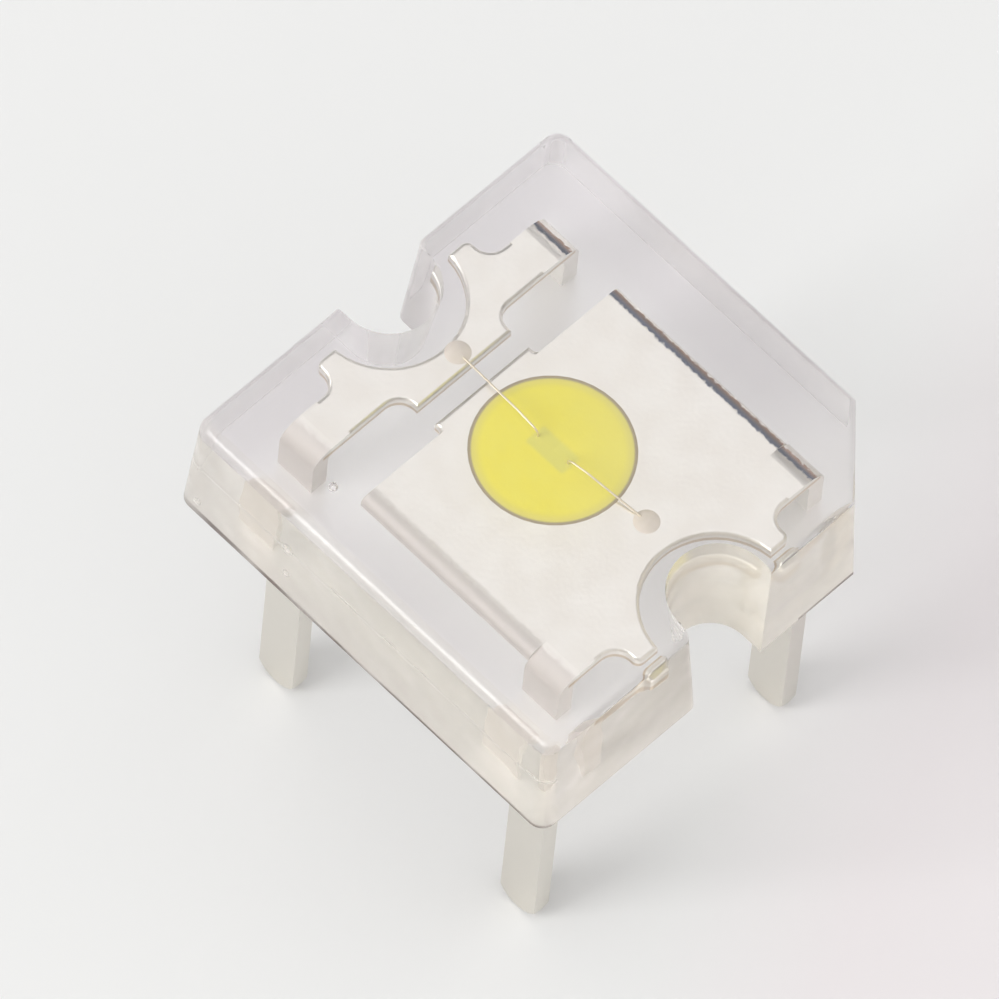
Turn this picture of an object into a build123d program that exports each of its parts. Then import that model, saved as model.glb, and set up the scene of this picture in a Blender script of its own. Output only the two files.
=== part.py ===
from build123d import *
import os
from math import hypot, radians, tan

# A square four-lead LED. Two stamped lead frames, a chip, its bond wires and a
# cup of yellow phosphor are cast into one block of clear epoxy, and four flat
# leads stand out of its underside. Millimetres, +Z up. The origin is in the
# plane of the lead tips, under the middle of the block. The block's cut corner
# is at +X -Y, and its two side channels are in the -Y and +Y sides.

# Epoxy block, with its plan given at the underside
body_height = 2.1
side_draft = 3.0  # degrees that the sides lean in towards the top
corner_radius = 0.25
cut_corner = 1.28  # leg of the corner that marks the polarity
top_edge_radius = 0.12
channel_width = 1.26
channel_depth = 1.0
channel_draft = 4.5  # degrees that a channel's wall leans out towards the top
channel_lip_radius = 0.17
lip_crossing = 0.004  # how far the lip's round reaches past the two walls it joins

# Leads
lead_pitch = 5.08
lead_width = 0.7
lead_length = 5.35  # from the block's underside to the tips
bend_radius = 0.13  # inside the bend
tip_spare = 0.04  # of the domed tip's radius beyond the lead's corners

# Flat part of the lead frames
sheet_thickness = 0.3
sheet_edge_radius = 0.06  # rolled upper edge of the stamped sheet
frame_cover = 0.6  # epoxy above the sheet
end_setback = 0.09  # from a lead's outer face back to the cup sheet's end
end_radius = 0.15  # roll of the cup sheet's two ends
tongue_width = 1.9
bar_tongue_reach = 0.36  # of the bar frame's tongue, from its leads' inner sides
cup_tongue_reach = 0.17  # of the cup frame's tongue
frame_gap = 0.36  # between the two tongues
tongue_root = 0.34  # less where the tongue is short
shoulder_strip = 0.39  # of the sheet beside each channel
shoulder_reach = 0.455  # from the leads' outer sides
shoulder_root = 0.3
shoulder_corner = 0.12
shoulder_cover = 0.3764  # epoxy between a shoulder and the block's side
channel_clearance = 0.4  # epoxy between the sheet and a channel's wall

# Reflector cup pressed into the larger frame
cup_depth = 0.42
cup_slope = 0.29  # how far the cup's wall leans in from its rim to its floor
cup_wall = 0.18
cup_margin = 0.05  # sheet between the cup's outside and the end of the tongue
phosphor_crown = 0.03  # rise of the filling above the cup's rim

# Chip and its bonds
chip_length = 0.8  # along Y
chip_width = 0.42
chip_height = 0.12
attach_margin = 0.05
attach_thickness = 0.03
pad_diameter = 0.12
pad_thickness = 0.015
pad_inset = 0.03  # from the chip's end
ball_diameter = 0.09
ball_height = 0.04
wire_diameter = 0.034
loop_rise = 0.24  # of a wire above the sheet
loop_radius = 0.12
dot_diameter = 0.4
dot_height = 0.07
cup_dot_x = 0.18
bar_dot_x = 0.12
dot_edge = 0.19  # from the bar's dot to the edge beside the channel


def lean(angle, height):
    """How far a wall that leans by an angle has moved at a height above the underside."""
    return tan(radians(angle)) * height


underside = lead_length
top = lead_length + body_height
sheet_top = top - frame_cover
sheet_bottom = sheet_top - sheet_thickness
sheet_level = body_height - frame_cover
cup_floor = sheet_top - cup_depth

# Distances from the block's axis: first outwards from the leads to its side, then inwards to the cup
lead_outer_side = lead_pitch / 2 + lead_width / 2
lead_inner_side = lead_pitch / 2 - lead_width / 2
lead_outer_face = lead_pitch / 2 + sheet_thickness / 2
tip_radius = hypot(lead_width, sheet_thickness) / 2 + tip_spare
bend_start = lead_outer_face - bend_radius - sheet_thickness
sheet_end = lead_outer_face - end_setback
shoulder_edge = lead_outer_side + shoulder_reach
body_half = shoulder_edge + shoulder_cover + lean(side_draft, sheet_level)
channel_radius = channel_width / 2
channel_axis = body_half - channel_depth + channel_radius
clear_radius = channel_radius + lean(channel_draft, sheet_level) + channel_clearance
shoulder_side = clear_radius + shoulder_strip
bar_tongue_edge = lead_inner_side - bar_tongue_reach
cup_tongue_edge = bar_tongue_edge - frame_gap
cup_rim_radius = cup_tongue_edge - cup_margin - cup_wall
cup_floor_radius = cup_rim_radius - cup_slope


def corner(shape, x, y):
    """The corner of a flat outline that is nearest to a point."""
    return shape.vertices().sort_by_distance((x, y, 0))[0]


def corners(shape, x, y):
    """The two corners of a flat outline at y that are x away from X = 0."""
    return [corner(shape, side * x, y) for side in (1, -1)]


def slab(x_size, y_low, y_high):
    """A rectangle that is centred in X and lies between two values of Y."""
    return Pos(0, (y_low + y_high) / 2) * Rectangle(x_size, y_high - y_low)


def wall_edge(shape, x, y):
    """The edge between two walls whose middle is nearest to a point half way up the block."""
    return shape.edges().sort_by_distance((x, y, underside + body_height / 2))[0]


def block():
    """The epoxy block without its channels: a drafted square with one cut corner and round edges."""
    outline = Rectangle(2 * body_half, 2 * body_half)
    outline = chamfer(corner(outline, body_half, -body_half), cut_corner)
    shape = extrude(Pos(0, 0, underside) * outline, amount=body_height, taper=side_draft)
    half = body_half - lean(side_draft, body_height / 2)
    plain = [wall_edge(shape, half, half), wall_edge(shape, -half, half), wall_edge(shape, -half, -half)]
    shape = fillet(plain, corner_radius)
    return fillet(shape.faces().sort_by(Axis.Z)[-1].edges(), top_edge_radius)


def channel(side):
    """The room of one side channel, on the -Y or the +Y side, open at both faces."""
    outline = Pos(0, channel_axis) * Circle(channel_radius) + slab(channel_width, channel_axis, 2 * body_half)
    room = extrude(Pos(0, 0, underside) * outline, amount=body_height, taper=-channel_draft)
    return room if side > 0 else room.rotate(Axis.Z, 180)


def around_lip(side):
    """What is cut away round the lip of one channel, along the line where its wall meets the block's side."""
    reach = channel_lip_radius - lip_crossing
    centre = Pos(channel_radius + reach, body_half - reach)
    square = Pos(channel_radius, body_half) * Rectangle(2 * reach, 2 * reach)
    outline = square - centre * Circle(channel_lip_radius)
    rise = Vector(lean(channel_draft, body_height), -lean(side_draft, body_height), body_height)
    room = extrude(Pos(0, 0, underside) * outline, amount=rise.length, dir=rise.normalized())
    return room if side > 0 else room.rotate(Axis.Z, 180)


def epoxy_block():
    """The block with both channels, each of which has one rounded lip."""
    shape = block()
    for side in (1, -1):
        shape = shape - channel(side) - around_lip(side)
    return shape


def sheet_outline(plain_edge, tongue_edge):
    """A frame's flat outline, with its leads' sides at +Y and its tongue towards -Y."""
    outline = slab(2 * bend_start, plain_edge, lead_outer_side)
    outline += slab(tongue_width, tongue_edge, lead_outer_side)
    outline += slab(2 * shoulder_side, lead_inner_side, shoulder_edge)
    root = min(tongue_root, plain_edge - tongue_edge - 1.1 * sheet_edge_radius)
    outline = fillet(corners(outline, tongue_width / 2, plain_edge), root)
    root = min(shoulder_root, 0.66 * shoulder_reach, 0.8 * (bend_start - shoulder_side))
    outline = fillet(corners(outline, shoulder_side, lead_outer_side), root)
    tip = min(shoulder_corner, 0.27 * shoulder_reach)
    outline = fillet(corners(outline, shoulder_side, shoulder_edge), tip)
    return outline - Pos(0, channel_axis) * Circle(clear_radius)


def sheet(outline):
    """The flat part of a frame, with the rolled upper edge that stamping leaves."""
    flat = extrude(Pos(0, 0, sheet_bottom) * outline, amount=sheet_thickness)
    return fillet(flat.faces().sort_by(Axis.Z)[-1].outer_wire().edges(), sheet_edge_radius)


def rolled_ends(plain_edge):
    """The part of a sheet that is wider than between its leads' bends, with both ends rolled down."""
    outline = slab(2 * sheet_end, plain_edge, lead_inner_side)
    part = extrude(Pos(0, 0, sheet_bottom) * outline, amount=sheet_thickness)
    return fillet(part.edges().filter_by(Axis.Y).group_by(Axis.Z)[-1], end_radius)


def around_tip():
    """What is cut away round the tip of a lead at the origin, to leave it domed."""
    align = (Align.CENTER, Align.CENTER, Align.MIN)
    room = Box(3 * tip_radius, 3 * tip_radius, tip_radius, align=align)
    return room - Pos(0, 0, tip_radius) * Sphere(tip_radius)


def lead(side):
    """One lead, bent down from the sheet at the +X or -X end, with a domed tip."""
    outer = lead_outer_face
    inner = outer - sheet_thickness
    root = bend_start - sheet_thickness
    profile = Polygon(
        (root, sheet_top), (outer, sheet_top), (outer, 0),
        (inner, 0), (inner, sheet_bottom), (root, sheet_bottom),
        align=None,
    )
    profile = fillet(corner(profile, outer, sheet_top), bend_radius + sheet_thickness)
    profile = fillet(corner(profile, inner, sheet_bottom), bend_radius)
    strip = extrude(Plane.XZ * profile, amount=lead_width / 2, both=True) - Pos(lead_pitch / 2) * around_tip()
    return strip if side > 0 else strip.rotate(Axis.Z, 180)


def frame(outline):
    """A frame in one piece: its sheet and a lead at each X end, all on the +Y side."""
    shape = sheet(outline)
    for side in (1, -1):
        shape += Pos(0, lead_pitch / 2) * lead(side)
    return shape


def cup_space(extra):
    """The inside of the cup, or its outside when extra is the wall."""
    align = (Align.CENTER, Align.CENTER, Align.MAX)
    cone = Cone(cup_floor_radius + extra, cup_rim_radius + extra, cup_depth + extra, align=align)
    return Pos(0, 0, sheet_top) * cone


def cup_frame():
    """The larger frame, which carries the reflector cup and the two -Y leads."""
    plain_edge = cup_tongue_reach - cup_tongue_edge
    shape = frame(sheet_outline(plain_edge, -cup_tongue_edge)) + rolled_ends(plain_edge)
    shape = shape.rotate(Axis.Z, 180)
    return shape + cup_space(cup_wall) - cup_space(0)


def bar_frame():
    """The smaller frame, a bar between the two +Y leads."""
    return frame(sheet_outline(lead_inner_side, bar_tongue_edge))


def disc(diameter, low, high):
    """An upright cylinder between two heights."""
    return Pos(0, 0, (low + high) / 2) * Cylinder(diameter / 2, high - low)


def cap(diameter, height, base):
    """A shallow dome that stands on a level face at the base height."""
    radius = (diameter**2 / 4 + height**2) / (2 * height)
    ball = Pos(0, 0, base + height - radius) * Sphere(radius)
    return ball & disc(diameter, base, base + height)


def die_attach():
    """The film of adhesive that holds the chip on the cup's floor."""
    film = Box(chip_width + 2 * attach_margin, chip_length + 2 * attach_margin, attach_thickness)
    return Pos(0, 0, cup_floor + attach_thickness / 2) * film


chip_bottom = cup_floor + attach_thickness
chip_top = chip_bottom + chip_height
pad_top = chip_top + pad_thickness
pad_offset = chip_length / 2 - pad_inset - pad_diameter / 2


def led_chip():
    """The chip, lying flat on its adhesive."""
    return Pos(0, 0, (chip_bottom + chip_top) / 2) * Box(chip_width, chip_length, chip_height)


def contact_pad(side):
    """One metal pad near an end of the chip's top."""
    return Pos(0, side * pad_offset) * disc(pad_diameter, chip_top, pad_top)


def bond_wire(side, dot_x, reach):
    """A wire with its ball on the pad, which loops over the cup's rim to the sheet."""
    loop = sheet_top + loop_rise
    landing = sheet_top + wire_diameter / 2
    start = Vector(0, side * pad_offset, pad_top + ball_height / 2)
    knee = Vector(0, side * pad_offset, loop)
    far = Vector(dot_x, side * reach, landing)
    crest = knee + (far - knee) * 0.25
    crest.Z = loop
    path = FilletPolyline(start, knee, crest, far, radius=loop_radius)
    section = Plane(origin=path @ 0, z_dir=path % 0) * Circle(wire_diameter / 2)
    ball = Pos(0, side * pad_offset) * disc(ball_diameter, pad_top, pad_top + ball_height)
    return sweep(section, path=path) + ball


def bond_dot(side, dot_x, reach):
    """The round dot on the sheet that holds the far end of a wire."""
    return Pos(dot_x, side * reach) * cap(dot_diameter, dot_height, sheet_top)


def phosphor():
    """The filling of the cup, slightly proud of its rim."""
    return cup_space(0) + cap(2 * cup_rim_radius, phosphor_crown, sheet_top)


def without(shape, others):
    """A cast or dispensed piece with the room of what it holds taken out."""
    for other in others:
        shape -= other
    return shape


# The cup's dot is midway from the rim to the edge beside the channel, and the bar's is near that edge
channel_limit = channel_axis - clear_radius
cup_dot = (-1, cup_dot_x, (channel_limit + cup_rim_radius) / 2)
bar_dot = (1, bar_dot_x, channel_limit - dot_edge)

frames = {"cup_frame": cup_frame(), "bar_frame": bar_frame()}
inside_cup = {
    "die_attach": die_attach(),
    "led_chip": led_chip(),
    "cup_side_pad": contact_pad(-1),
    "bar_side_pad": contact_pad(1),
}
wires = {
    "cup_bond_wire": bond_wire(*cup_dot),
    "bar_bond_wire": bond_wire(*bar_dot),
}
dots = {
    "cup_bond_dot": without(bond_dot(*cup_dot), wires.values()),
    "bar_bond_dot": without(bond_dot(*bar_dot), wires.values()),
}
filling = {"phosphor_fill": without(phosphor(), [*inside_cup.values(), *wires.values()])}
cast_in = [*frames.values(), *inside_cup.values(), *wires.values(), *dots.values(), *filling.values()]
casting = {"lens_body": without(epoxy_block(), cast_in)}

os.makedirs("parts", exist_ok=True)
for group in (casting, frames, inside_cup, wires, dots, filling):
    for name, shape in group.items():
        shape.label = name
        export_step(shape, f"parts/{name}.step")
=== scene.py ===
from math import cos, pi, radians, sin, sqrt, tan

import bpy
from mathutils import Matrix, Vector

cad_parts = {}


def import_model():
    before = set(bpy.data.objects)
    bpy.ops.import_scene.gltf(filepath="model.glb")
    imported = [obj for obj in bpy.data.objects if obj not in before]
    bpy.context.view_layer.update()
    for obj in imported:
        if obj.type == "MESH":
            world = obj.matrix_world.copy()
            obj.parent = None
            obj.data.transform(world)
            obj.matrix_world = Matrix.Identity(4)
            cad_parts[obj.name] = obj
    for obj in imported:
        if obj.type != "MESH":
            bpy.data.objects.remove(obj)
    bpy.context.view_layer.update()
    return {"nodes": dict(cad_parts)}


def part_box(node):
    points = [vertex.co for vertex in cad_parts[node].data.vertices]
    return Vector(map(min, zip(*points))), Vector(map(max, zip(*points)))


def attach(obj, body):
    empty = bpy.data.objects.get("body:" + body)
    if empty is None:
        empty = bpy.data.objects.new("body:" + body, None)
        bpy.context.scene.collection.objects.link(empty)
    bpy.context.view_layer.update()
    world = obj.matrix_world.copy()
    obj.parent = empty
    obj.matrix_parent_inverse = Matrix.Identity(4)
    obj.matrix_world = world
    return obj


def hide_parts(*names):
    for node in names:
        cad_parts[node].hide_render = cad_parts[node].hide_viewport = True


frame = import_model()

# A square four-lead LED in clear epoxy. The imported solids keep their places, and
# the epoxy block is made again as one closed skin without the room of the pieces
# cast into it, so that light crosses its surface only once. Sizes are in
# millimetres, which MM turns into Blender's metres, and angles are in degrees.
MM = 0.001

# Epoxy block, with its plan given at the underside
side_draft = 3.0
corner_radius = 0.25
cut_corner = 1.28
top_edge_radius = 0.12
worn_radius, worn_width = 0.36, 0.16  # of the rounder top edge at -X, and how far in it starts
channel_radius = 0.63
channel_depth = 1.0
channel_draft = 4.5
lip_radius = 0.17
arc_share = 0.95  # of its room, which an arc fills at most
arc_steps = 12
wall_rows, edge_rows = 4, 8
crease = 30.0  # edges sharper than this stay sharp

# Air bubbles, each with its X and Y, its height above the underside and its radius
bubbles = [
    (-3.6, 3.44, 0.2, 0.07),
    (-3.56, 1.68, 1.06, 0.12),
    (-3.58, 1.64, 0.42, 0.08),
    (-2.76, 1.72, 1.5, 0.08),
]
bubble_rings, bubble_sides = 8, 16

# Pieces cast into the block
frame_cover = 0.6
sheet_thickness = 0.3
sheet_end = 2.6  # how far out in X the sheets reach
cup_radius = 1.24
chip_size = (0.42, 0.8)

# Epoxy finishes. A clearness is the share of light that passes, and a wave is the
# height of the surface's unevenness.
epoxy_index = 1.53
wave_scale, wave_detail = 1.2, 1.0
faint_wave, worn_wave, wall_wave = 0.0006, 0.02, 0.12
top_clearness, far_clearness = 0.92, 0.84
wall_clearness, hazy_clearness, wall_roughness = 0.72, 0.45, 0.05
worn_clearness, worn_roughness = 0.88, 0.17
frost_clearness, frost_roughness = 0.55, 0.5
frost_start, frost_reach = 2.3, 1.0  # how far out the painted shade on the underside starts, and over what width
frost_y_start, frost_y_reach = -3.0, 2.0  # the same along Y

# Where the walls' finishes change
far_line = 0.2  # walls with a larger X + Y are at the far side
hazy_line = -2.5  # walls with a lower Y are hazy, from the channel on towards +X
wall_tilt, flat_tilt = 0.2, 0.98  # the normals' Z where the walls end and where the flat top starts
worn_side = -0.1  # the normals' X, below which the top edge is worn

# Faint mould ridge along the wall at -X
seam_height, seam_width, seam_step = 1.2, 0.05, 0.01
seam_reach = 0.3  # how far in from -X it goes round the corners

# Painted shade: a dark line round the foot of the walls at both X ends
foot_height, foot_soft, foot_depth = 0.08, 0.04, 1.0
foot_rise = 0.02  # for each millimetre towards +Y
foot_left, foot_right = 0.2, 1.4  # how far in from the wall at -X it reaches, and where it starts at +X
foot_contrast = 1.7  # how strongly the noise breaks the line

# Silver plate
silver_roughness, scuffed_roughness = 0.28, 0.52  # of the plate, and what scuffs add to it
silver_scale, silver_grain_scale, silver_grain = 2.0, 14.0, 0.002
edge_wander = 0.12  # how far the scuffs and the dark band wander
# Width and softness of the scuffed ends at -X, whose darker colour is painted shade
scuffs_and_shade_width, scuffs_and_shade_soft = 0.36, 0.1
corner_start, corner_contrast = 0.15, 3.0  # of the painted shade on the leads' corners
band_inset, band_overhang, band_soft = 0.14, 0.02, 0.03  # of the painted dark reflection band at the sheets' ends at +X
band_change, band_change_width = 0.15, 0.08  # where its colour changes, and over what width
flat_normal = 0.5  # the least Z of the normals on the flats
droop_width, droop_slope, droop_wander = 0.19, 0.15, 0.8  # of the sheets' ends at +X
cut_margin, cut_soft = 0.02, 0.05  # of the cut edges, which lie below the rolled upper edge
cut_start = 0.1  # how far in from the sheets' ends at -X the cut edges start
cut_steepness, cut_strength = 1.25, 0.8

# Phosphor filling
phosphor_roughness = 0.45
phosphor_scale, phosphor_grain_scale, phosphor_grain = 3.0, 12.0, 0.003
pale_width = 2.4  # over which the yellow pales towards +X -Y
rim_start, rim_middle, rim_dark, rim_end = 0.84, 0.945, 0.965, 0.975  # shares of the cup's radius
rim_share = 0.55  # of the rim's colour at the middle of the rim
chip_soft, chip_strength = 0.05, 0.75

# Small pieces, and where the noise in every finish turns from one colour to the next
mottle_start, mottle_end = 0.35, 0.65
small_scale, small_grain_scale, small_grain = 8.0, 20.0, 0.001

# Colours as they are seen, from 0 to 255
colours = {
    "top": (248, 246, 247),
    "far wall": (246, 242, 242),
    "wall": (250, 245, 234),
    "worn edge": (252, 249, 246),
    "foot_shade": (104, 88, 80),
    "underside": (255, 254, 254),
    "underside outer shade": (230, 226, 229),
    "silver": (238, 234, 226),
    "silver light": (243, 240, 233),
    "leads": (230, 226, 218),
    "lead corner shade": (176, 164, 150),
    "scuffs_and_shade": (234, 230, 226),
    "scuffed end shade": (224, 219, 215),
    "painted_reflection_band": (96, 104, 128),
    "outer reflection band": (160, 128, 104),
    "cut edge": (200, 176, 142),
    "cut edge shade": (90, 80, 72),
    "yellow": (252, 240, 30),
    "yellow light": (253, 242, 48),
    "yellow pale": (248, 239, 104),
    "yellow over chip": (230, 226, 96),
    "yellow rim": (222, 212, 120),
    "yellow rim dark": (165, 150, 118),
    "gold": (240, 228, 204),
    "gold light": (244, 233, 212),
    "paste": (226, 216, 203),
    "paste light": (232, 222, 211),
    "chip": (180, 186, 160),
    "chip light": (190, 195, 170),
    "adhesive": (200, 198, 190),
    "adhesive light": (208, 206, 198),
    "floor": (237, 237, 236),
    "floor pink": (236, 231, 232),
}

# Camera, fitted to the photograph
camera_azimuth = -49.7
camera_elevation = 61.0
camera_roll = -6.2
camera_distance = 400.0
pixels_per_mm = 68.9
image_size = 999
block_pixel = (546.3, 508.3)  # where the middle of the block's underside is seen
sensor_width = 36.0
clip_range = (0.01, 10.0)  # in metres

# Light: the world's strength is its level plus its slope along a direction
world_level = 0.64
world_slope = (-0.12, -0.09, 0.3)
panel_side = (0.37, 0.31, 0.875)
panel_start, panel_full, panel_power = 0.84, 0.96, 0.4
backdrop_level = 0.84
dark_side = (0.707, 0.707, 0.0)
dark_start, dark_full, dark_depth = 0.56, 0.8, 0.85
softbox_side = (-0.75, 0.3, 0.6)
softbox_distance, softbox_size, softbox_radiance = 300.0, 130.0, 4.5

# Floor, which turns faintly pink at the lower right
floor_half = 400.0
floor_roughness = 0.9
pink_slope, pink_start, pink_width = 2.0, 7.0, 6.0

block_low, block_high = (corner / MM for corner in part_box("lens_body"))
underside = block_low.z
block_height = block_high.z - block_low.z
body_half = block_high.x
sheet_top = block_high.z - frame_cover


def lean(angle, height):
    """How far a wall that leans by an angle has moved at a height above the underside."""
    return tan(radians(angle)) * height


def arc(centre, radius, start, turn, steps=arc_steps):
    """Points of an arc from a start angle through a turn."""
    angles = [radians(start + turn * step / steps) for step in range(steps + 1)]
    return [(centre[0] + radius * cos(angle), centre[1] + radius * sin(angle)) for angle in angles]


def block_outline(inset, channel):
    """The block's plan, counter-clockwise, with its walls moved in and a radius for its channels."""
    half = body_half - inset
    cut = cut_corner - (2 - sqrt(2)) * inset
    axis = body_half - channel_depth + channel_radius
    lip = min(lip_radius, arc_share * (half - axis))
    inner = half - corner_radius
    points = [(half, cut - half)]
    points += arc((inner, inner), corner_radius, 0, 90)
    points += arc((channel + lip, half - lip), lip, 90, 90)
    points += arc((0, axis), channel, 0, -180, 3 * arc_steps)
    points += [(-channel, half)]
    points += arc((-inner, inner), corner_radius, 90, 90)
    points += arc((-inner, -inner), corner_radius, 180, 90)
    points += arc((-channel - lip, lip - half), lip, 270, 90)
    points += arc((0, -axis), channel, 180, -180, 3 * arc_steps)
    points += [(channel, -half), (half - cut, -half)]
    return points


def block_rows():
    """The height and the outline of each row of the block's skin, from the underside to the top."""
    tilt = radians(side_draft)
    centre_height = block_height - top_edge_radius
    centre_inset = lean(side_draft, centre_height + top_edge_radius * sin(tilt)) + top_edge_radius * cos(tilt)
    insets = []
    for step in range(wall_rows + 1):
        height = centre_height * step / wall_rows
        insets.append((height, lean(side_draft, height)))
    for step in range(1, edge_rows + 1):
        angle = tilt + (pi / 2 - tilt) * step / edge_rows
        height = centre_height + top_edge_radius * sin(angle)
        insets.append((height, centre_inset - top_edge_radius * cos(angle)))
    for step in range(1, edge_rows + 1):
        insets.append((block_height, centre_inset + worn_width * step / edge_rows))
    rows = []
    for height, inset in insets:
        rows.append((height, block_outline(inset, channel_radius + lean(channel_draft, height))))
    return rows


def worn(x, height):
    """How far the rounder top edge at -X lies below the plain one."""
    start = -(body_half - lean(side_draft, block_height) - top_edge_radius - worn_width)
    reach = max(0.0, min(start - x, arc_share * worn_radius))
    share = max(0.0, 1 - (block_height - height) / (2 * top_edge_radius))
    return share * (worn_radius - sqrt(worn_radius**2 - reach**2))


def add_bubble(points, faces, bubble):
    """Add a small closed air bubble, whose faces look inwards."""
    x, y, height, radius = bubble
    middle = underside + height
    first = len(points)
    for ring in range(1, bubble_rings):
        angle = pi * ring / bubble_rings
        for px, py in arc((x, y), radius * sin(angle), 0, 360, bubble_sides)[:-1]:
            points.append((px * MM, py * MM, (middle - radius * cos(angle)) * MM))
    low, high = len(points), len(points) + 1
    points += [(x * MM, y * MM, (middle + end * radius) * MM) for end in (-1, 1)]
    last = first + (bubble_rings - 2) * bubble_sides
    for side in range(bubble_sides):
        after = (side + 1) % bubble_sides
        faces.append((low, first + side, first + after))
        faces.append((high, last + after, last + side))
        for ring in range(bubble_rings - 2):
            row = first + ring * bubble_sides
            above = row + bubble_sides
            faces.append((row + after, row + side, above + side, above + after))


def skin(name, rows):
    """A closed mesh from rows of points at rising heights, with flat ends and the bubbles inside."""
    count = len(rows[0][1])
    points = []
    for height, outline in rows:
        for x, y in outline:
            points.append((x * MM, y * MM, (underside + height - worn(x, height)) * MM))
    faces = [tuple(reversed(range(count))), tuple(range((len(rows) - 1) * count, len(rows) * count))]
    for row in range(len(rows) - 1):
        low, high = row * count, (row + 1) * count
        for index in range(count):
            after = (index + 1) % count
            faces.append((low + index, low + after, high + after, high + index))
    for bubble in bubbles:
        add_bubble(points, faces, bubble)
    mesh = bpy.data.meshes.new(name)
    mesh.from_pydata(points, [], faces)
    mesh.polygons.foreach_set("use_smooth", [True] * len(faces))
    mesh.set_sharp_from_angle(angle=radians(crease))
    piece = bpy.data.objects.new(name, mesh)
    bpy.context.collection.objects.link(piece)
    weighted = piece.modifiers.new("flat faces stay flat", "WEIGHTED_NORMAL")
    weighted.keep_sharp = True
    return piece


def linear(level):
    """One channel of a colour, from how it is seen to how a shader takes it."""
    level /= 255
    return level / 12.92 if level <= 0.04045 else ((level + 0.055) / 1.055) ** 2.4


def shade(name):
    """A named colour as a shader takes it."""
    return (*map(linear, colours[name]), 1.0)


def grey(level):
    """A grey as a shader takes it."""
    return (level, level, level, 1.0)


def material(name, **inputs):
    """A material with one Principled shader, and that shader."""
    made = bpy.data.materials.new(name)
    made.use_nodes = True
    shader = made.node_tree.nodes["Principled BSDF"]
    for key, value in inputs.items():
        shader.inputs[key.replace("_", " ")].default_value = value
    return made, shader


def node(made, kind, **settings):
    """A new node, with sockets set by name and other settings as attributes."""
    new = made.node_tree.nodes.new(kind)
    for key, value in settings.items():
        if key in new.inputs:
            new.inputs[key].default_value = value
        else:
            setattr(new, key, value)
    return new


def feed(made, value, target):
    """Give a socket its value: a field, another socket, a number or a colour."""
    if isinstance(value, Field):
        value = value.socket
    if isinstance(value, (int, float, tuple)):
        target.default_value = value
    else:
        made.node_tree.links.new(value, target)


class Field:
    """A number that changes from place to place, on which plain sums build the nodes they need."""

    def __init__(self, made, socket):
        self.made, self.socket = made, socket

    def combine(self, operation, first, second=0.0):
        """The field that one sum gives."""
        new = node(self.made, "ShaderNodeMath", operation=operation)
        feed(self.made, first, new.inputs[0])
        feed(self.made, second, new.inputs[1])
        return Field(self.made, new.outputs[0])

    def __add__(self, other):
        return self.combine("ADD", self, other)

    def __sub__(self, other):
        return self.combine("SUBTRACT", self, other)

    def __rsub__(self, other):
        return self.combine("SUBTRACT", other, self)

    def __mul__(self, other):
        return self.combine("MULTIPLY", self, other)

    def __truediv__(self, other):
        return self.combine("DIVIDE", self, other)

    def __lt__(self, other):
        return self.combine("LESS_THAN", self, other)

    def __gt__(self, other):
        return self.combine("GREATER_THAN", self, other)

    def __abs__(self):
        return self.combine("ABSOLUTE", self)

    def root(self):
        """Its square root."""
        return self.combine("SQRT", self)

    def at_least(self, other):
        """The larger of this field and another one."""
        return self.combine("MAXIMUM", self, other)

    def clamped(self):
        """The same field, kept between 0 and 1."""
        self.socket.node.use_clamp = True
        return self


def within(field, low, high, soft):
    """1 where a field lies between low and high, with soft ends, and 0 elsewhere."""
    rise = ((field - low) / soft).clamped()
    fall = ((high - field) / soft).clamped()
    return rise * fall


def split(made, vector):
    """The X, Y and Z of a vector, as fields."""
    parts = node(made, "ShaderNodeSeparateXYZ")
    feed(made, vector, parts.inputs[0])
    return [Field(made, part) for part in parts.outputs]


def coordinates(made):
    """The X, Y and Z of a point of the part."""
    where = node(made, "ShaderNodeTexCoord")
    scaled = node(made, "ShaderNodeVectorMath", operation="SCALE")
    scaled.inputs["Scale"].default_value = 1 / MM
    feed(made, where.outputs["Object"], scaled.inputs[0])
    return split(made, scaled.outputs[0])


def noise(made, scale, detail=3.0):
    """Noise from 0 to 1 in the object's own coordinates."""
    where = node(made, "ShaderNodeTexCoord")
    new = node(made, "ShaderNodeTexNoise", Scale=scale / MM, Detail=detail)
    feed(made, where.outputs["Object"], new.inputs["Vector"])
    return Field(made, new.outputs["Fac"])


def bump(made, shader, height, unit=1.0):
    """Give the shader's surface a height, with the size in millimetres of a height of 1."""
    new = node(made, "ShaderNodeBump", Distance=unit * MM)
    feed(made, height, new.inputs["Height"])
    feed(made, new.outputs["Normal"], shader.inputs["Normal"])


def ramp(made, value, stops):
    """A colour that follows a value through stops of place and colour."""
    new = node(made, "ShaderNodeValToRGB")
    marks = new.color_ramp.elements
    while len(marks) < len(stops):
        marks.new(1.0)
    for mark, (position, colour) in zip(marks, stops):
        mark.position, mark.color = position, colour
    feed(made, value, new.inputs["Fac"])
    return new.outputs["Color"]


def mottle(made, first, second, scale):
    """A soft change between two named colours."""
    return ramp(made, noise(made, scale), [(mottle_start, shade(first)), (mottle_end, shade(second))])


def blend(made, factor, first, second):
    """A mix of two colours, each given as a socket or a colour."""
    new = node(made, "ShaderNodeMix", data_type="RGBA")
    feed(made, factor, new.inputs["Factor"])
    feed(made, first, new.inputs[6])
    feed(made, second, new.inputs[7])
    return new.outputs[2]


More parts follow.
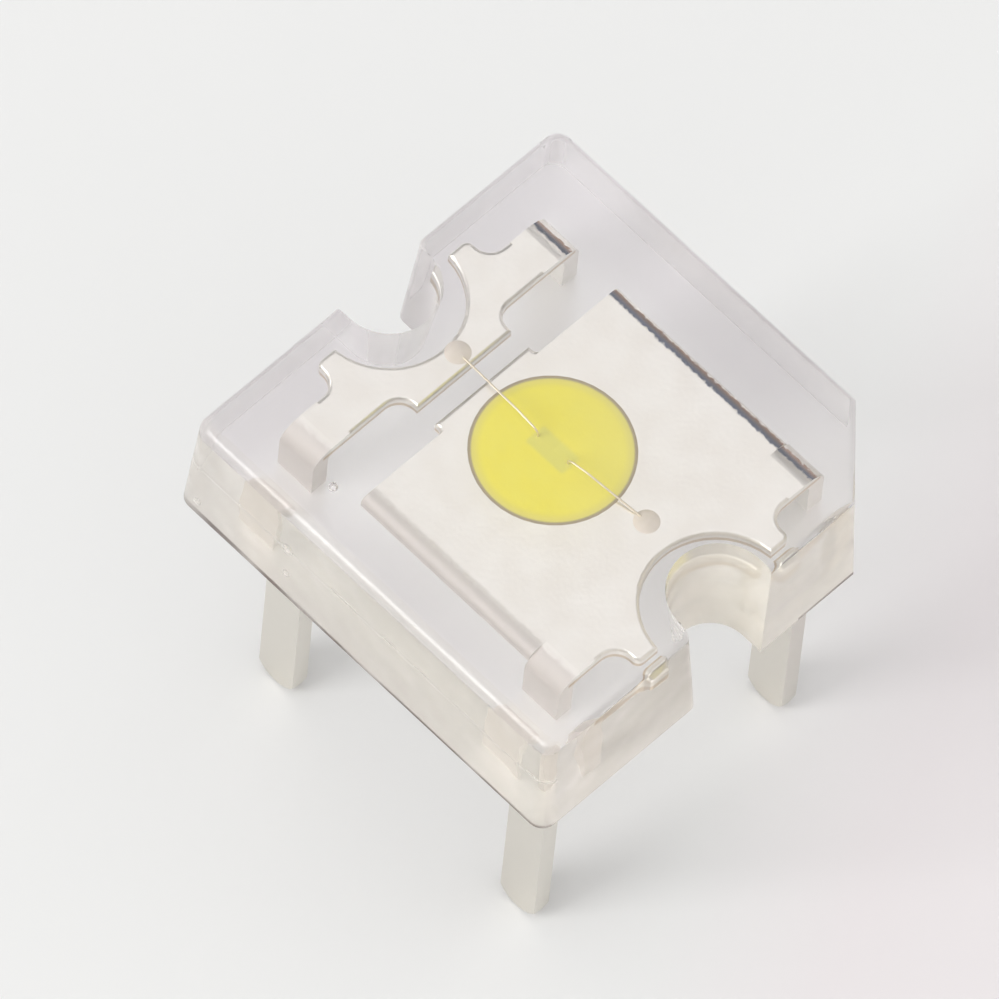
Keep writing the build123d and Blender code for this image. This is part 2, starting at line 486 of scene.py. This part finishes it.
def epoxy(name, colour, roughness, clearness):
    """Cast epoxy, which lets the light from the lamps through to what is cast into it."""
    made, shader = material(
        name, Base_Color=shade(colour), Roughness=roughness, IOR=epoxy_index, Transmission_Weight=clearness
    )
    path = node(made, "ShaderNodeLightPath")
    clear = node(made, "ShaderNodeBsdfTransparent")
    mix = node(made, "ShaderNodeMixShader")
    feed(made, path.outputs["Is Shadow Ray"], mix.inputs[0])
    feed(made, shader.outputs[0], mix.inputs[1])
    feed(made, clear.outputs[0], mix.inputs[2])
    feed(made, mix.outputs[0], made.node_tree.nodes["Material Output"].inputs["Surface"])
    return made, shader


def even_epoxy(name, colour, roughness, clearness, wave=faint_wave):
    """Epoxy in one colour, as on the top, the worn edge and the far walls."""
    made, shader = epoxy(name, colour, roughness, clearness)
    bump(made, shader, noise(made, wave_scale, wave_detail), wave)
    return made


def wall_epoxy(name, clearness):
    """The block's wavy and slightly hazy walls, with a painted shade line along the foot at both X ends."""
    made, shader = epoxy(name, "wall", wall_roughness, clearness)
    x, y, z = coordinates(made)
    uneven = noise(made, wave_scale, wave_detail)

    middle = underside + seam_height
    seam = within(z, middle - seam_width, middle + seam_width, seam_width) * seam_step
    seam = seam * (x < -body_half + seam_reach)
    bump(made, shader, seam + uneven * wall_wave)

    # Painted shade: a dark, broken line along the foot of the walls at both X ends
    ends = (x < -body_half + foot_left) + (x > foot_right)
    level = z - y.at_least(0.0) * foot_rise
    foot_shade = within(level, underside - foot_depth, underside + foot_height, foot_soft) * ends
    foot_shade = foot_shade * (uneven * foot_contrast).clamped()
    feed(made, blend(made, foot_shade, shade("wall"), shade("foot_shade")), shader.inputs["Base Color"])
    return made


def under_epoxy():
    """The block's frosted underside, with painted light and shade: palest between the leads, where the frames
    shade it, and darker further out.
    """
    made, shader = epoxy("frosted_epoxy", "underside", frost_roughness, frost_clearness)
    bump(made, shader, noise(made, wave_scale, wave_detail), faint_wave)
    x, y, z = coordinates(made)
    out = abs(x).at_least(abs(y))
    # Painted shade further out and painted light between the leads, which even out the frames' shade
    outer_shade = ((out - frost_start) / frost_reach).clamped() * ((y - frost_y_start) / frost_y_reach).clamped()
    colour = blend(made, outer_shade, shade("underside"), shade("underside outer shade"))
    feed(made, colour, shader.inputs["Base Color"])
    return made


def plate():
    """Silver plate on the stamped lead frames, thin on their cut edges, with ends that droop at +X, and with
    painted shade and a painted dark reflection on parts of it.
    """
    made, shader = material("silver_plate", Metallic=1.0)
    x, y, z = coordinates(made)
    normal_x, normal_y, normal_z = split(made, node(made, "ShaderNodeNewGeometry").outputs["Normal"])
    uneven = noise(made, silver_grain_scale)
    edge_x = x + uneven * edge_wander

    # The leads below the block, with painted shade on their corners
    below = z < underside
    silver = blend(made, below, mottle(made, "silver", "silver light", silver_scale), shade("leads"))
    # Painted shade: darker where the normal points between X and Y, on the leads' rounded corners
    corner = ((abs(normal_x * normal_y) - corner_start) * corner_contrast).clamped()
    silver = blend(made, corner * below, silver, shade("lead corner shade"))

    # The scuffed ends at -X: rougher, and darker in colour, where the darker colour is painted shade that
    # dims the lamp's highlight
    scuffs_and_shade = within(edge_x, -body_half, -sheet_end + scuffs_and_shade_width, scuffs_and_shade_soft) * (1.0 - below)
    silver = blend(made, scuffs_and_shade, silver, shade("scuffs_and_shade"))
    # Painted shade: the faces of the scuffed ends that look towards -X are darker still
    end = (normal_x * -1.0 * scuffs_and_shade).clamped()
    silver = blend(made, end, silver, shade("scuffed end shade"))
    feed(made, scuffs_and_shade * scuffed_roughness + silver_roughness, shader.inputs["Roughness"])

    # Painted reflection: a dark band along the ends at +X, for the dark sky mirrored in their drooping edge
    flat = normal_z > flat_normal
    painted_reflection_band = within(edge_x, sheet_end - band_inset, sheet_end + band_overhang, band_soft) * flat
    outer = ((x - (sheet_end - band_change)) / band_change_width).clamped()
    silver = blend(made, painted_reflection_band, silver, blend(made, outer, shade("painted_reflection_band"), shade("outer reflection band")))

    # The droop of the same ends
    beyond = (x - (sheet_end - droop_width)).at_least(0.0)
    wander = flat * (uneven - 0.5) * droop_wander + 1.0
    bump(made, shader, uneven * silver_grain + beyond * wander * -droop_slope)

    # The cut edges, bare copper, with painted shade where they face away
    low = sheet_top - sheet_thickness - cut_margin
    sheet = within(z, low, sheet_top - 0.5 * sheet_thickness, cut_soft)
    inner = within(x, -sheet_end + cut_start, sheet_end + cut_margin, cut_margin)
    edge = (1.0 - abs(normal_z) * cut_steepness).clamped()
    cut = edge * (sheet * inner) * cut_strength
    # Painted shade: the cut edges that face +X and +Y are darker
    away_shade = (normal_x + normal_y).clamped()
    bare = blend(made, away_shade, shade("cut edge"), shade("cut edge shade"))
    feed(made, blend(made, cut, silver, bare), shader.inputs["Base Color"])
    return made


def phosphor():
    """Silicone filled with yellow phosphor powder, thin at the cup's rim and over the chip."""
    made, shader = material("yellow_phosphor", Roughness=phosphor_roughness)
    bump(made, shader, noise(made, phosphor_grain_scale), phosphor_grain)
    x, y, z = coordinates(made)
    yellow = mottle(made, "yellow", "yellow light", phosphor_scale)
    yellow = blend(made, ((x - y) / pale_width).clamped(), yellow, shade("yellow pale"))
    half_x, half_y = chip_size[0] / 2, chip_size[1] / 2
    chip = within(x, -half_x, half_x, chip_soft) * within(y, -half_y, half_y, chip_soft)
    yellow = blend(made, chip * chip_strength, yellow, shade("yellow over chip"))
    share = (x * x + y * y).root() / cup_radius
    rim = ramp(made, share, [(rim_start, grey(0.0)), (rim_middle, grey(rim_share)), (rim_end, grey(1.0))])
    edge = ramp(made, share, [(rim_middle, shade("yellow rim")), (rim_dark, shade("yellow rim dark"))])
    feed(made, blend(made, rim, yellow, edge), shader.inputs["Base Color"])
    return made


def plain(name, first, second, roughness, metallic=0.0):
    """A finish with a little unevenness in its colour and its surface."""
    made, shader = material(name, Metallic=metallic, Roughness=roughness)
    feed(made, mottle(made, first, second, small_scale), shader.inputs["Base Color"])
    bump(made, shader, noise(made, small_grain_scale), small_grain)
    return made


finishes = {
    "silver": plate(),
    "phosphor": phosphor(),
    "gold": plain("bond_gold", "gold", "gold light", roughness=0.4, metallic=1.0),
    "dot": plain("bond_dot_paste", "paste", "paste light", roughness=0.8),
    "chip": plain("chip_surface", "chip", "chip light", roughness=0.2),
    "adhesive": plain("die_adhesive", "adhesive", "adhesive light", roughness=0.6),
}
finish_of = {
    "cup_frame": "silver",
    "bar_frame": "silver",
    "phosphor_fill": "phosphor",
    "cup_bond_wire": "gold",
    "bar_bond_wire": "gold",
    "cup_side_pad": "gold",
    "bar_side_pad": "gold",
    "cup_bond_dot": "dot",
    "bar_bond_dot": "dot",
    "led_chip": "chip",
    "die_attach": "adhesive",
}
for name, finish in finish_of.items():
    solid = frame["nodes"][name]
    solid.data.materials.clear()
    solid.data.materials.append(finishes[finish])

rows = block_rows()
block = skin("clear_block", rows)
skin_faces = 2 + (len(rows) - 1) * len(rows[0][1])
block_finishes = {
    "top": even_epoxy("clear_epoxy", "top", 0.0, top_clearness),
    "underside": under_epoxy(),
    "wall": wall_epoxy("wall_epoxy", wall_clearness),
    "worn edge": even_epoxy("worn_epoxy", "worn edge", worn_roughness, worn_clearness, worn_wave),
    "hazy wall": wall_epoxy("hazy_epoxy", hazy_clearness),
    "far wall": even_epoxy("far_epoxy", "far wall", 0.0, far_clearness),
}
for made in block_finishes.values():
    block.data.materials.append(made)


def finish_at(face):
    """Which of the block's finishes a face of its skin or of a bubble has."""
    tilt = abs(face.normal.z)
    if face.index == 0:
        return "underside"
    if face.index >= skin_faces:
        return "top"
    if tilt < wall_tilt:
        centre = face.center / MM
        if centre.y < hazy_line and centre.x > -channel_radius:
            return "hazy wall"
        if centre.x + centre.y > far_line and centre.y > hazy_line:
            return "far wall"
        return "wall"
    if tilt < flat_tilt and face.normal.x < worn_side:
        return "worn edge"
    return "top"


for face in block.data.polygons:
    face.material_index = list(block_finishes).index(finish_at(face))
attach(block, "root")
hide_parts("lens_body")


def floor():
    """A wide pale floor in the plane of the lead tips."""
    half = floor_half * MM
    corners = [(-half, -half, 0), (half, -half, 0), (half, half, 0), (-half, half, 0)]
    mesh = bpy.data.meshes.new("floor")
    mesh.from_pydata(corners, [], [(0, 1, 2, 3)])
    piece = bpy.data.objects.new("floor", mesh)
    bpy.context.collection.objects.link(piece)
    made, shader = material("floor_paper", Roughness=floor_roughness, Specular_IOR_Level=0.0)
    x, y, z = coordinates(made)
    pink = ((x - y * pink_slope - pink_start) / pink_width).clamped()
    feed(made, blend(made, pink, shade("floor"), shade("floor pink")), shader.inputs["Base Color"])
    mesh.materials.append(made)


def camera():
    """The photograph's view: looking down past the corner at -X -Y, with a little roll."""
    azimuth, elevation, roll = map(radians, (camera_azimuth, camera_elevation, camera_roll))
    back = Vector((sin(azimuth) * cos(elevation), -cos(azimuth) * cos(elevation), sin(elevation)))
    level = Vector((cos(azimuth), sin(azimuth), 0))
    down = (-back).cross(level)
    right_axis = cos(roll) * level + sin(roll) * down
    down_axis = -sin(roll) * level + cos(roll) * down
    focal = pixels_per_mm * camera_distance
    across, along = ((pixel - image_size / 2) / focal * camera_distance for pixel in block_pixel)
    middle = Vector((0, 0, underside))
    position = middle - across * right_axis - along * down_axis + camera_distance * back
    data = bpy.data.cameras.new("photo_view")
    data.sensor_width = sensor_width
    data.lens = focal / image_size * sensor_width
    data.clip_start, data.clip_end = clip_range
    made = bpy.data.objects.new("photo_view", data)
    turn = Matrix((right_axis, -down_axis, back)).transposed().to_4x4()
    made.matrix_world = Matrix.Translation(position * MM) @ turn
    bpy.context.collection.objects.link(made)
    bpy.context.scene.camera = made


def world():
    """Soft light, brightest overhead and dark low down behind the part, with a pale backdrop."""
    made = bpy.data.worlds.new("studio")
    made.use_nodes = True
    bpy.context.scene.world = made
    where = node(made, "ShaderNodeTexCoord")

    def along(direction):
        """How far a ray goes along a direction."""
        product = node(made, "ShaderNodeVectorMath", operation="DOT_PRODUCT")
        product.inputs[1].default_value = direction
        feed(made, where.outputs["Generated"], product.inputs[0])
        return Field(made, product.outputs["Value"])

    panel = ((along(panel_side) - panel_start) / (panel_full - panel_start)).clamped()
    dark = ((along(dark_side) - dark_start) / (dark_full - dark_start)).clamped()
    sky = (along(world_slope) + world_level + panel * panel_power) * (1.0 - dark * dark_depth)
    seen = Field(made, node(made, "ShaderNodeLightPath").outputs["Is Camera Ray"])
    background = made.node_tree.nodes["Background"]
    background.inputs["Color"].default_value = grey(1.0)
    feed(made, sky * (1.0 - seen) + seen * backdrop_level, background.inputs["Strength"])


def softbox():
    """A square lamp at the left, turned towards the part."""
    data = bpy.data.lights.new("left_softbox", "AREA")
    data.size = softbox_size * MM
    # A lamp's radiance is a quarter of its power over its area
    data.energy = 4 * softbox_radiance * (softbox_size * MM) ** 2
    lamp = bpy.data.objects.new("left_softbox", data)
    toward = Vector(softbox_side).normalized()
    lamp.location = toward * softbox_distance * MM
    lamp.rotation_mode = "QUATERNION"
    lamp.rotation_quaternion = toward.to_track_quat("Z", "Y")
    bpy.context.collection.objects.link(lamp)


floor()
camera()
world()
softbox()
bpy.context.scene.view_settings.view_transform = "Standard"
